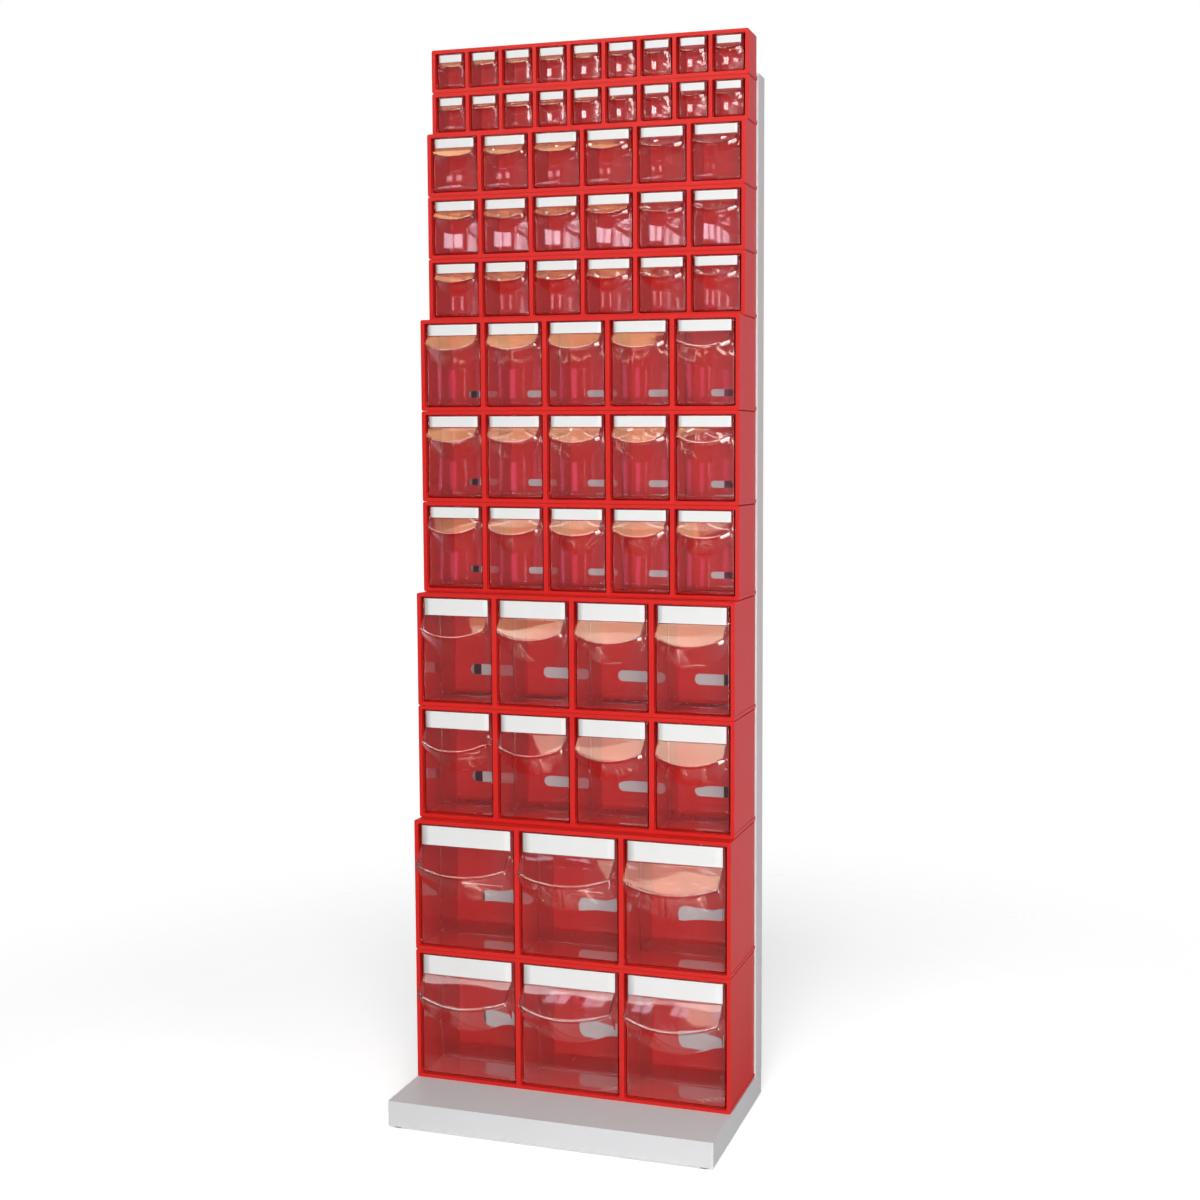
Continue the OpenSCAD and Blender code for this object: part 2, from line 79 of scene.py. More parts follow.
SOCKET_GAP = 0.8 * MM
PEG_R = 3 * MM
RIB_W = 1.2 * MM
RIB_SLOT = 2 * MM
BASE_H = 48 * MM
REAR_Y = 110 * MM

# Size index of each unit, from the top unit down, and the height of each unit's underside
STACK = [size for size in range(5) for _ in range(UNITS_OF[size])]
UNDERSIDE = [BASE_H + sum(UNIT_H[s] for s in STACK[row + 1:]) for row in range(len(STACK))]


def opening_w(size):
    """Clear width of one cell: what the rims leave of the unit, shared equally."""
    return (UNIT_W - 2 * RIM_SIDE - (BINS_IN[size] - 1) * RIM_OF[size]) / BINS_IN[size]


def cell_x(size, cell):
    """Middle of a cell: the cells stand one opening and one rim apart, about the unit's middle."""
    return (cell - (BINS_IN[size] - 1) / 2) * (opening_w(size) + RIM_OF[size])


def bin_bodies():
    """Each moving group: the body's name, its row and its cells."""
    for row, size in enumerate(STACK):
        if size == 0:
            yield f"small_bins_{row + 1:02d}_left", row, range(0, 5)
            yield f"small_bins_{row + 1:02d}_right", row, range(5, 9)
        else:
            for cell in range(BINS_IN[size]):
                yield f"bin_{row + 1:02d}_{cell + 1}", row, range(cell, cell + 1)


# ---- shader maths ----


class Wire:
    """One output socket of a node tree. Arithmetic on it adds Math nodes to that tree."""

    def __init__(self, graph, socket):
        self.graph = graph
        self.socket = socket

    def output(self, name):
        """Another output of the same node."""
        return Wire(self.graph, self.socket.node.outputs[name])

    def maths(self, operation, *values):
        return self.graph.add("ShaderNodeMath", {"operation": operation}, dict(enumerate(values)))

    def __add__(self, other):
        return self.maths("ADD", self, other)

    __radd__ = __add__

    def __rsub__(self, other):
        return self.maths("SUBTRACT", other, self)

    def __mul__(self, other):
        return self.maths("MULTIPLY", self, other)

    __rmul__ = __mul__

    def above(self, other):
        return self.maths("MAXIMUM", self, other)


class Graph:
    """The node tree of one material or world."""

    def __init__(self, tree):
        self.tree = tree
        tree.nodes.clear()

    def add(self, kind, settings=None, sockets=None, out=0):
        """Adds one node: its settings first, then the values or wires of its sockets, by name, identifier or
        number."""
        node = self.tree.nodes.new(kind)
        for name, value in (settings or {}).items():
            setattr(node, name, value)
        for key, value in (sockets or {}).items():
            if isinstance(key, int):
                socket = node.inputs[key]
            else:
                socket = next(s for s in node.inputs if s.enabled and key in (s.identifier, s.name))
            if isinstance(value, Wire):
                self.tree.links.new(value.socket, socket)
            elif isinstance(value, tuple) and len(value) == 3 and socket.type == "RGBA":
                socket.default_value = (*value, 1)
            else:
                socket.default_value = value
        found = [s for s in node.outputs if s.enabled]
        if not found:
            return None
        return Wire(self, found[out] if isinstance(out, int) else node.outputs[out])

    def mix(self, share, a, b):
        """Colour that runs from a to b as share runs from 0 to 1."""
        return self.add("ShaderNodeMix", {"data_type": "RGBA"},
                        {"Factor_Float": share, "A_Color": a, "B_Color": b})

    def place(self, scale=(1, 1, 1)):
        """Object coordinates, scaled by a Mapping node."""
        here = self.add("ShaderNodeTexCoord", out="Object")
        return self.add("ShaderNodeMapping", None, {"Vector": here, "Scale": scale})

    def noise(self, where, scale, detail=3.0, rough=0.5, warp=0.0):
        return self.add("ShaderNodeTexNoise", None, {
            "Vector": where, "Scale": scale, "Detail": detail, "Roughness": rough, "Distortion": warp})

    def bump(self, height, distance, strength=1.0):
        return self.add("ShaderNodeBump", None, {
            "Height": height, "Distance": distance, "Strength": strength})

    def ease(self, value, low, high, at_low=0.0, at_high=1.0):
        """Runs smoothly from at_low to at_high while a value runs from low to high."""
        return self.add("ShaderNodeMapRange", {"interpolation_type": "SMOOTHSTEP"}, {
            "Value": value, "From Min": low, "From Max": high, "To Min": at_low, "To Max": at_high})

    def rays(self):
        """Two masks: 1 for rays straight from the camera, and 1 for rays that a mirror or clear plastic sends."""
        seen = self.add("ShaderNodeLightPath", out="Is Camera Ray")
        return seen, seen.output("Is Glossy Ray").above(seen.output("Is Transmission Ray"))

    def surface(self, shader):
        self.add("ShaderNodeOutputMaterial", None, {"Surface": shader})


def new_material(name):
    material = bpy.data.materials.new(name)
    material.use_nodes = True
    return material, Graph(material.node_tree)


# ---- finishes ----


def moulded_red():
    """Red moulded plastic: an even satin skin with faint flow clouds and a fine spark-eroded grain."""
    material, g = new_material("casing_red_plastic")
    here = g.place()
    clouds = g.noise(here, 9, 3, 0.55)
    grain = g.noise(here, 900, 2, 0.6)
    scuffs = g.noise(g.place((1, 1, 6)), 60, 4, 0.6)
    colour = g.mix(clouds, (0.52, 0.010, 0.007), (0.59, 0.015, 0.011))
    g.surface(g.add("ShaderNodeBsdfPrincipled", None, {
        "Base Color": colour,
        "Roughness": 0.36 + 0.10 * clouds + 0.06 * scuffs,
        "IOR": 1.42,
        "Specular IOR Level": 0.45,
        "Normal": g.bump(grain, 0.00006, 0.5),
    }))
    return material


def clear_plastic():
    """Clear polystyrene: slightly uneven gloss. Light for what lies behind passes straight through."""
    material, g = new_material("bin_clear_plastic")
    here = g.place()
    waves = g.noise(here, 22, 2, 0.5)
    glass = g.add("ShaderNodeBsdfPrincipled", None, {
        "Base Color": (0.997, 0.997, 0.997),
        "Roughness": 0.015 + 0.03 * waves,
        "IOR": 1.5,
        "Transmission Weight": 1.0,
        "Normal": g.bump(waves, 0.0004, 0.12),
    })
    passing = g.add("ShaderNodeBsdfTransparent", None, {"Color": (0.99, 0.99, 0.99)})
    path = g.add("ShaderNodeLightPath", out="Is Shadow Ray")
    g.surface(g.add("ShaderNodeMixShader", None, {
        0: path.above(path.output("Is Diffuse Ray")), 1: glass, 2: passing}))
    return material


def powder_coat():
    """Light grey powder coat on sheet steel, with a fine orange peel."""
    material, g = new_material("steel_grey_coat")
    here = g.place()
    peel = g.noise(here, 420, 3, 0.5)
    clouds = g.noise(here, 3, 4, 0.6)
    g.surface(g.add("ShaderNodeBsdfPrincipled", None, {
        "Base Color": g.mix(clouds, (0.53, 0.53, 0.54), (0.58, 0.58, 0.59)),
        "Roughness": 0.42 + 0.12 * clouds,
        "IOR": 1.5,
        "Normal": g.bump(peel, 0.0002, 0.35),
    }))
    return material


def zinc_plate():
    """Bright zinc plating with faint blue and yellow passivation."""
    material, g = new_material("fixing_zinc")
    here = g.place()
    blotch = g.noise(here, 160, 4, 0.6)
    grain = g.noise(g.place((1, 1, 0.1)), 1500, 2, 0.5)
    g.surface(g.add("ShaderNodeBsdfPrincipled", None, {
        "Base Color": g.mix(blotch, (0.56, 0.58, 0.60), (0.70, 0.68, 0.60)),
        "Metallic": 1.0,
        "Roughness": 0.28 + 0.22 * blotch,
        "Normal": g.bump(grain, 0.00003, 0.5),
    }))
    return material


def glide_plastic():
    """Black moulded glides, dulled underneath by dust."""
    material, g = new_material("glide_black_plastic")
    here = g.place()
    dust = g.noise(here, 120, 4, 0.6)
    g.surface(g.add("ShaderNodeBsdfPrincipled", None, {
        "Base Color": g.mix(dust, (0.012, 0.012, 0.013), (0.05, 0.048, 0.045)),
        "Roughness": 0.45 + 0.3 * dust,
        "Normal": g.bump(g.noise(here, 1200, 2, 0.5), 0.00005, 0.6),
    }))
    return material


def label_paper():
    """White card with the faint fibres of uncoated paper."""
    material, g = new_material("label_white_card")
    fibres = g.noise(g.place((1, 1, 3)), 700, 4, 0.7, 0.6)
    tint = g.noise(g.place(), 14, 2, 0.5)
    g.surface(g.add("ShaderNodeBsdfPrincipled", None, {
        "Base Color": g.mix(tint, (0.63, 0.63, 0.62), (0.68, 0.68, 0.68)),
        "Roughness": 0.6 + 0.2 * fibres,
        "Normal": g.bump(fibres, 0.00005, 0.5),
    }))
    return material


FINISH = {
    "casing_red": moulded_red(),
    "bin_clear": clear_plastic(),
    "steel_grey": powder_coat(),
    "zinc": zinc_plate(),
    "glide_black": glide_plastic(),
}
PAPER = label_paper()


def finish_of(node):
    """The finish of a CAD node, from the kind of piece that its name says."""
    if node in ("column", "base"):
        return FINISH["steel_grey"]
    if node == "glides":
        return FINISH["glide_black"]
    if node == "fixings":
        return FINISH["zinc"]
    if node.endswith("_casings"):
        return FINISH["casing_red"]
    return FINISH["bin_clear"]


for name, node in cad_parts.items():
    if not node.data.materials:
        node.data.materials.append(finish_of(name))
    for slot in node.material_slots:
        slot.material = finish_of(name)


# ---- surfaces ----


def add_piece(name, mesh):
    piece = bpy.data.objects.new(name, mesh)
    bpy.context.scene.collection.objects.link(piece)
    return piece


def grid_mesh(name, points, material, around=False, capped=False):
    """Mesh over a grid of points, rows by columns by xyz: each cell of the grid is one four-sided face.
    around joins the last column to the first, and capped closes the first and last rows with a flat face each."""
    rows, columns = points.shape[:2]
    corner = np.arange(rows * columns).reshape(rows, columns)
    ends = [corner[0, ::-1].tolist(), corner[-1].tolist()] if capped else []
    if around:
        corner = np.concatenate([corner, corner[:, :1]], 1)
    faces = np.stack([corner[:-1, :-1], corner[:-1, 1:], corner[1:, 1:], corner[1:, :-1]], -1)
    mesh = bpy.data.meshes.new(name)
    mesh.from_pydata(points.reshape(-1, 3), [], faces.reshape(-1, 4).tolist() + ends)
    mesh.polygons.foreach_set("use_smooth", np.full(len(mesh.polygons), True))
    mesh.materials.append(material)
    return add_piece(name, mesh)


def join(name, pieces):
    """One object from several."""
    if len(pieces) > 1:
        with bpy.context.temp_override(active_object=pieces[0], selected_editable_objects=pieces,
                                       selected_objects=pieces):
            bpy.ops.object.join()
    pieces[0].name = name
    return pieces[0]


def weld(mesh):
    """Merges the points that a pole or a seam has more than once."""
    work = bmesh.new()
    work.from_mesh(mesh)
    bmesh.ops.remove_doubles(work, verts=work.verts, dist=TINY)
    work.to_mesh(mesh)
    work.free()


# Most of a line that the bend at one of its ends takes up
MOST_CUT = 0.42


def eased(before, corner, after, reach, steps=3):
    """Points round a corner: a parabola between the two lines that meet there, from `reach` before the corner
    to `reach` after it, and never over the most of either line. Each argument is an array of points."""
    back, on = before - corner, after - corner
    cut_back = np.minimum(reach / np.linalg.norm(back, axis=-1, keepdims=True), MOST_CUT)
    cut_on = np.minimum(reach / np.linalg.norm(on, axis=-1, keepdims=True), MOST_CUT)
    t = np.linspace(0, 1, steps)[:, None, None]
    return corner + (1 - t) ** 2 * back * cut_back + t ** 2 * on * cut_on


# ---- clear bins ----

FLOOR_Z = RIM_H + RIM_GAP
PIVOT_Y = RECESS + HEEL_R
PIVOT_Z = FLOOR_Z + HEEL_R
SIDE_FILLET = 2.2 * MM
GRIP_END = 0.4 * MM
FRONT_CROWN = 0.25 * MM
# The inside of the grip lies this much further in, as a share of the wall, so that its slopes are as thick
GRIP_THIN = 0.25
# Reach of the bends at the grip's foot, below its narrow face, at its nose and at the top of its slope
FOOT_BEND, FACE_BEND, NOSE_BEND, RIDGE_BEND = 2.0 * MM, 1.2 * MM, 1.6 * MM, 0.6 * MM
# How far the flat wall is followed below and above the grip
LEAD = 6 * MM
# Halvings in the search for the underside's foot
HALVINGS = 40
# Shares of a flat's run at which it has an extra row of points, so that the bends beside it don't shade it, and
# those of the flat wall below the grip
FLAT_ENDS = (0.05, 0.95)
WALL_ROWS = (0.05, 0.12, 0.65, 0.95)
# Least radius of a corner in plan, which is also the width of the steps beside the stop tab
LEAST_R = 0.5 * MM
# Rings of the floor, from the flat face in its middle outwards
FLOOR_RINGS = np.array([14, 10, 8, 6.5, 5]) * MM
# Rounding of the wall's edge: shares of its thickness, and how far each row lies below the top, both ends included
LIP_SHARE = (0.07, 0.25, 0.75, 0.93)
LIP_DROP = np.array([0.5, 0.15, 0, 0, 0.15, 0.5]) * MM
# The stop tab's gap below the casing's top, and how far inside the tab's sides a point has to be to be lifted
STOP_GAP = 1.5 * RIM_GAP
TAB_SLACK = 0.3 * MM
# Height over which the front steps back into the label's pocket
POCKET_STEP = 0.06 * MM


def bin_half(size):
    return opening_w(size) / 2 - SIDE_GAP


def bin_rear(size):
    return UNIT_D[size] - BACK_WALL - REAR_GAP


def bin_top(size):
    return UNIT_H[size] - STACK_GAP - RIM_H - RIM_GAP


def grip_top(size):
    return bin_top(size) - LABEL_TOP - LABEL_H[size] - LABEL_EDGE


def front_stations(size, inset):
    """Places across the front wall, on its outside or an inset within: close together at the ends of the grip and
    of the label, and on a cosine between them."""
    face = bin_half(size) - EDGE_R
    grip = face - inset
    label = grip - LABEL_EDGE
    ends = np.array([face, grip - GRIP_END / 4, grip - GRIP_END, label, label - GRIP_END / 4])
    middle = -np.cos(np.linspace(0, math.pi, 15)) * (label - 1.5 * MM)
    return np.concatenate([-ends, middle, ends[::-1]])


def plan_outline(size, inset, grip_inset):
    """Plan of the bin's wall, moved inwards by inset, from the front's left end round by the right. A corner is a
    quarter circle of the edge radius less the inset; where that would be under the least, its centre moves in."""
    half, rear = bin_half(size), bin_rear(size)
    radius = max(EDGE_R - inset, LEAST_R)
    moved = max(inset - EDGE_R + LEAST_R, 0)
    face = half - EDGE_R - moved
    low, high = RECESS + EDGE_R + moved, rear - EDGE_R - moved
    turn = np.linspace(0, math.pi / 2, 6)
    front_x = front_stations(size, grip_inset) * face / (half - EDGE_R)
    front = np.stack([front_x, np.full_like(front_x, low - radius)], -1)
    tab = TAB_SHARE * (half - EDGE_R)
    step = LEAST_R / tab
    rear_x = np.array([TAB_SHARE, TAB_SHARE - step, 0.3, -0.3, step - TAB_SHARE, -TAB_SHARE]) * face
    corners = [np.stack([x + radius * np.cos(turn + start), y + radius * np.sin(turn + start)], -1)
               for x, y, start in ((face, low, -math.pi / 2), (face, high, 0),
                                   (-face, high, math.pi / 2), (-face, low, math.pi))]
    along = np.linspace(0, 1, 11)[1:-1]
    right = np.stack([np.full_like(along, face + radius), low + (high - low) * along], -1)
    back = np.stack([rear_x, np.full_like(rear_x, high + radius)], -1)
    left = right[::-1] * [-1, 1]
    return np.concatenate([front, corners[0][1:], right, corners[1], back, corners[2], left, corners[3][:-1]])


def underside_z(size, y, inset):
    """Side view of the underside, or of the floor above it: a quarter circle at the heel, level, and a quarter
    circle at the tail."""
    heel_r, tail_r = HEEL_R - inset, TAIL_R - inset
    tail_y = bin_rear(size) - TAIL_R
    heel = heel_r - np.sqrt(heel_r ** 2 - np.clip(PIVOT_Y - y, 0, heel_r) ** 2)
    tail = tail_r - np.sqrt(tail_r ** 2 - np.clip(y - tail_y, 0, tail_r) ** 2)
    return FLOOR_Z + inset + heel + tail


def wall_top(size, outline):
    """Height of the wall's edge: level as far as the pivot, then the circle about the pivot that clears the rim,
    then its chord over the rear corners; higher on the stop tab."""
    x, y = outline[:, 0], outline[:, 1]
    radius = bin_top(size) - PIVOT_Z
    rear = bin_rear(size)
    bend = rear - TAIL_R

    def arc(r, at):
        return PIVOT_Z + np.sqrt(r ** 2 - np.clip(at - PIVOT_Y, 0, None) ** 2)

    chord = arc(radius, bend) + (y - bend) / TAIL_R * (arc(radius, rear) - arc(radius, bend))
    top = np.where(y > bend, chord, arc(radius, np.minimum(y, bend)))
    stop = UNIT_H[size] - STACK_GAP - CASING_WALL - STOP_GAP - PIVOT_Z
    inside_tab = (y > rear - TINY) & (np.abs(x) < TAB_SHARE * (bin_half(size) - EDGE_R) - TAB_SLACK)
    return np.where(inside_tab, arc(stop, rear), top)


def grip_disc(size):
    """The disc whose edge is a grip's nose: how far down the slope its middle is, its radius, and the width of the
    narrow face below the nose, which is square to the slope."""
    slope = (GRIP_OUT[size] + RECESS) / math.sin(GRIP_ANGLE)
    half, bow = bin_half(size) - EDGE_R, GRIP_BOW[size]
    disc = (half ** 2 + bow ** 2) / (2 * bow)
    return slope - disc, disc, GRIP_BAND * slope / (slope + 10 * MM)


def grip_path(size, x):
    """Side view of the front wall over each place x, from below the grip to above it, as points (y, z): the wall,
    the underside, the nose, the slope and the wall again. The nose is the edge of a disc that lies on the slope,
    so it bows down and forward, and the underside is a cone below that disc; the foot is where it meets the wall."""
    top = grip_top(size)
    sine, cosine = math.sin(GRIP_ANGLE), math.cos(GRIP_ANGLE)
    middle, disc, band = grip_disc(size)
    slope = middle + disc
    drop = slope * cosine + band * sine + GRIP_RUN * (slope * sine - band * cosine)
    foot_r, foot_w = drop * cosine - middle, -drop * sine

    def point(along, out):
        return np.stack([RECESS - along * sine - out * cosine, top - along * cosine + out * sine], -1)

    def underside(out):
        radius = disc + (out + band) / (foot_w + band) * (foot_r - disc)
        return middle + np.sqrt(np.maximum(radius ** 2 - x ** 2, 0))

    low, high = np.full_like(x, foot_w * 1.2), np.full_like(x, -band)
    for _ in range(HALVINGS):
        between = (low + high) / 2
        ahead = underside(between) * sine + between * cosine > 0
        low, high = np.where(ahead, low, between), np.where(ahead, between, high)
    foot = point(underside(low), low)
    foot[:, 0] = RECESS
    edge = middle + np.sqrt(disc ** 2 - x ** 2)
    nose_low, nose = point(edge, np.full_like(x, -band)), point(edge, np.zeros_like(x))
    ridge = point(np.zeros_like(x), np.zeros_like(x))
    below, above = foot - [0, LEAD], ridge + [0, LEAD]
    bends = [
        eased(below, foot, nose_low, FOOT_BEND),
        eased(foot, nose_low, nose, FACE_BEND, 4),
        eased(nose_low, nose, ridge, NOSE_BEND, 4),
        eased(nose, ridge, above, RIDGE_BEND),
    ]
    rows = bends[:1]
    for last, bend in zip(bends, bends[1:]):
        rows += [(1 - share) * last[-1:] + share * bend[:1] for share in FLAT_ENDS] + [bend]
    return np.concatenate(rows)


def wall_skin(size, inset):
    """One side of the bin's wall, its outside or the inside an inset within, as rows of points from the floor up to
    the edge, round its plan. The floor's rows follow the side view of the underside and turn up into the wall by a
    small fillet; the wall's rows run level round the sides, and over the grip on the front."""
    top = wall_top(size, plan_outline(size, 0, 0))
    turn = np.linspace(math.pi / 2, 0, 6)
    fillet = SIDE_FILLET - inset / 2
    insets = np.concatenate([FLOOR_RINGS, inset + fillet * (1 - np.cos(turn))])
    lifts = np.concatenate([0 * FLOOR_RINGS, fillet * (1 - np.sin(turn))])
    rows = []
    for within, lift in zip(insets, lifts):
        at = plan_outline(size, within, inset)
        rows.append(np.column_stack([at, underside_z(size, at[:, 1], inset) + lift]))
    start = rows[-1][:, 2]

    x = front_stations(size, inset)
    path = grip_path(size, x)
    label_low = bin_top(size) - LABEL_TOP - LABEL_H[size]
    label_high = bin_top(size) - LABEL_TOP
    pocket = (np.abs(x) < x[-4] - GRIP_END / 8) * LABEL_POCKET * (inset == 0)
    below = [np.stack([np.full_like(x, RECESS), start[: len(x)] + share * (path[0, :, 1] - start[: len(x)])], -1)
             for share in WALL_ROWS]
    over = [np.stack([RECESS + depth * pocket, np.full_like(x, z)], -1) for depth, z in (
        (0, label_low - POCKET_STEP), (1, label_low), (1, label_high), (0, label_high + POCKET_STEP),
        (0, bin_top(size) - LIP_DROP[0]))]
    hollow = path.copy()
    hollow[:, :, 0] += GRIP_THIN * inset * np.clip((RECESS - path[:, :, 0]) / (2 * MM), 0, 1)
    front = np.concatenate([below, hollow, over])
    front[:, np.abs(x) > x[-3] + GRIP_END / 8, 0] = RECESS
    front[:, :, 0] += inset - FRONT_CROWN * np.cos(x / x[-1] * math.pi / 2)

    share = (front[:, -1, 1] - start[0]) / (front[-1, -1, 1] - start[0])
    levels = start + share[:, None] * (top - LIP_DROP[0] - start)
    wall = plan_outline(size, inset, inset)
    upright = np.concatenate([np.repeat(wall[None], len(share), 0), levels[..., None]], -1)
    upright[:, : len(x), 1:] = front
    return np.concatenate([np.array(rows), upright])


def bin_skin(size):
    """Closed skin of one bin: the outside from the floor up, a rounded lip over the edge, and the inside down."""
    outside, inside = wall_skin(size, 0), wall_skin(size, BIN_WALL)
    lip = []
    for share, drop in zip(LIP_SHARE, LIP_DROP[1:-1]):
        row = (1 - share) * outside[-1] + share * inside[-1]
        row[:, 2] = outside[-1][:, 2] + LIP_DROP[0] - drop
        lip.append(row)
    return np.concatenate([outside, np.array(lip), inside[::-1]])


# The pegs' chamfer, and the share of the wall that they are rooted in
PEG_CHAMFER = 0.4 * MM
PEG_ROOT = 0.7


def peg_skin(side, size):
    """One pivot peg: a profile of radius over x, turned about the pivot, with a small chamfer at its tip."""
    reach = (RIM_OF[size] - DIVIDER) / 2 + SIDE_GAP - SOCKET_GAP
    root, tip = bin_half(size) - PEG_ROOT * BIN_WALL, bin_half(size) + reach
    x = np.array([root, root, tip - PEG_CHAMFER, tip, tip])[:, None]
    radius = np.array([0, PEG_R, PEG_R, PEG_R - PEG_CHAMFER, 0])[:, None]
    turn = np.linspace(0, 2 * math.pi, 21)[None, :-1] * side
    return np.stack([side * x + 0 * turn, PIVOT_Y - radius * np.sin(turn), PIVOT_Z + radius * np.cos(turn)], -1)


# The ribs' bend in the bin's lower corners, the length of their tapered ends, the share of the wall's height that
# they reach, and their section, as shares of their width across and out from the wall
RIB_BEND = 0.6 * MM
RIB_TAPER = 2 * MM
RIB_REACH = 0.9
RIB_ACROSS = np.array([-0.5, -0.5, -0.3, 0.3, 0.5, 0.5])
RIB_OUT = np.array([-0.1, 0.65, 1, 1, 0.65, -0.1])


def rib_skin(size, y):
    """One partition rib: a narrow rounded bar carried down one side, over the floor and up the other side."""
    half = bin_half(size) - BIN_WALL
    low = FLOOR_Z + BIN_WALL
    reach = math.sqrt((bin_top(size) - PIVOT_Z) ** 2 - (y - PIVOT_Y) ** 2)
    high = PIVOT_Z + RIB_REACH * reach
    turn = np.linspace(0, math.pi / 2, 5)
    round_x, round_z = RIB_BEND * (1 - np.cos(turn)), RIB_BEND * (1 - np.sin(turn))
    path = np.concatenate([
        [[-half, high], [-half, high - RIB_TAPER], [-half, (low + high) / 2]],
        np.stack([round_x - half, low + round_z], -1),
        [[0, low]],
        np.stack([half - round_x, low + round_z], -1)[::-1],
        [[half, (low + high) / 2], [half, high - RIB_TAPER], [half, high]],
    ])
    inward = np.concatenate([
        [[1, 0]] * 3, np.stack([np.cos(turn), np.sin(turn)], -1), [[0, 1]],
        np.stack([-np.cos(turn), np.sin(turn)], -1)[::-1], [[-1, 0]] * 3])
    across, out = RIB_ACROSS * RIB_W, RIB_OUT * RIB_W
    thin = np.ones(len(path))
    thin[[0, -1]] = 0
    place = path[:, None, :] + (out[None, :] * thin[:, None])[..., None] * inward[:, None, :]
    return np.stack([place[..., 0], y + across[None, :] * thin[:, None], place[..., 1]], -1)


def moulded_bin(size):
    """Mesh of one whole bin of a size, in its unit's own frame: its wall, its pegs and its partition ribs."""
    clear = FINISH["bin_clear"]
    parts = [grid_mesh("wall", bin_skin(size), clear, around=True, capped=True)]
    parts += [grid_mesh("peg", peg_skin(side, size), clear, around=True) for side in (-1, 1)]
    if size > 1:
        middle = (RECESS + bin_rear(size)) / 2
        away = (RIB_SLOT + RIB_W) / 2
        parts += [grid_mesh("rib", rib_skin(size, middle + way * away), clear, around=True) for way in (-1, 1)]
    for part in parts[1:]:
        weld(part.data)
    whole = join("bin_whole", parts)
    mesh = whole.data
    bpy.data.objects.remove(whole)
    return mesh


# ---- label cards ----

# A card's thickness, how far its face lies behind the bin's front, its corners' radius, its gap in the pocket and
# how far it bows forward
CARD_T = 0.3 * MM
CARD_FRONT = 0.12 * MM
CARD_CORNER = 0.7 * MM
CARD_GAP = 0.15 * MM
CARD_BOW = 0.1 * MM


def card_skin(size):
    """Front of one label card over (u, v): across is u times the width, pulled in at each corner by a quarter
    circle; up is v times the height; and y bows forward by a half cosine over the width."""
    half = bin_half(size) - EDGE_R - LABEL_EDGE - CARD_GAP
    top = bin_top(size) - LABEL_TOP - CARD_GAP
    height = LABEL_H[size] - 2 * CARD_GAP
    ends = CARD_CORNER * (1 - np.cos(np.linspace(0, math.pi / 2, 4)))
    v = np.concatenate([ends, height - ends[::-1]])
    u = np.linspace(-1, 1, 13)
    near_end = np.minimum(v, height - v)
    pull = CARD_CORNER - np.sqrt(CARD_CORNER ** 2 - np.maximum(CARD_CORNER - near_end, 0) ** 2)
    x = u[None, :] * (half - pull[:, None])
    z = np.repeat(top - height + v[:, None], len(u), 1)
    y = RECESS + CARD_FRONT - (CARD_BOW + FRONT_CROWN) * np.cos(x / half * math.pi / 2)
    return np.stack([x, y, z], -1)


def label_card(size):
    """Mesh of one label card, with its thickness."""
    card = grid_mesh("card", card_skin(size), PAPER)
    sheet = card.modifiers.new("thickness", "SOLIDIFY")
    sheet.thickness = CARD_T
    sheet.offset = -1
    bpy.context.view_layer.update()
    mesh = bpy.data.meshes.new_from_object(card.evaluated_get(bpy.context.evaluated_depsgraph_get()))
    bpy.data.objects.remove(card)
    return mesh


def set_out(name, mesh, row, cells):
    """One piece from copies of a mesh, one in each of a row's cells."""
    copies = []
    for cell in cells:
        copy = mesh.copy()
        size = STACK[row]
        copy.transform(Matrix.Translation((cell_x(size, cell), REAR_Y - UNIT_D[size], UNDERSIDE[row])))
        copies.append(add_piece(name, copy))
    return join(name, copies)


BIN_MESH = [moulded_bin(size) for size in range(5)]
CARD_MESH = [label_card(size) for size in range(5)]
for body, row, cells in bin_bodies():
    clear = set_out("clear_" + body, BIN_MESH[STACK[row]], row, cells)
    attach(clear, body)
    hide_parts(body)
    card = set_out("label_" + body, CARD_MESH[STACK[row]], row, cells)
    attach(card, body)


# ---- floor, lamps and camera ----

# Camera: its place, the way it looks, and its lens in pixels of the 1200 x 1200 frame
CAMERA = Vector((0.9923, -2.3864, 1.1970))
YAW, PITCH, ROLL = (math.radians(a) for a in (14.67, -4.05, 0.21))
FOCAL_PX, MIDDLE_X, MIDDLE_Y = 1447.8, 777.1, 554.1
FRAME_PX = 1200
SENSOR = 36.0

# The studio floor: half its side, its points each way, how far it lies below the glides, and from where to where it
# fades out
STUDIO_HALF = 2.5
STUDIO_POINTS = 11
STUDIO_DROP = 0.5 * MM
FADE = (0.7, 1.9)


def studio_floor():
    """Pale floor that fades into the white surroundings away from the cabinet. Mirror-like surfaces see it painted
    dim, as painted shade in their reflections, but for its right rear part, which glows for them as a painted
    glowing patch."""
    material, g = new_material("pale_floor")
    here = g.add("ShaderNodeTexCoord", out="Object")
    far = g.add("ShaderNodeVectorMath", {"operation": "LENGTH"}, {0: here}, "Value")
    seen, mirrored = g.rays()
    # Painted shade: mirror and clear-plastic rays see the floor much darker than the camera does
    plain = g.add("ShaderNodeBsdfDiffuse", None, {"Color": g.mix(mirrored, (0.93, 0.93, 0.93), (0.25, 0.25, 0.25))})
    spot = g.add("ShaderNodeSeparateXYZ", None, {0: here}, "X")
    beside = g.ease(spot, 0.3, 0.7)
    behind = g.ease(spot.output("Y"), -0.4, 0.1)
    # Painted glow: camera rays see the floor lifted evenly towards white, and mirror rays see its right rear part
    # glow, a painted glowing patch that gives the casings' right sides a painted sheen and the grips' right ends
    # painted highlights
    lift = g.add("ShaderNodeEmission", None, {"Color": 0.40 * seen + 0.7 * mirrored * beside * behind})
    gone = g.add("ShaderNodeBsdfTransparent")
    g.surface(g.add("ShaderNodeMixShader", None, {
        0: g.ease(far, *FADE), 1: g.add("ShaderNodeAddShader", None, {0: plain, 1: lift}), 2: gone}))
    return material


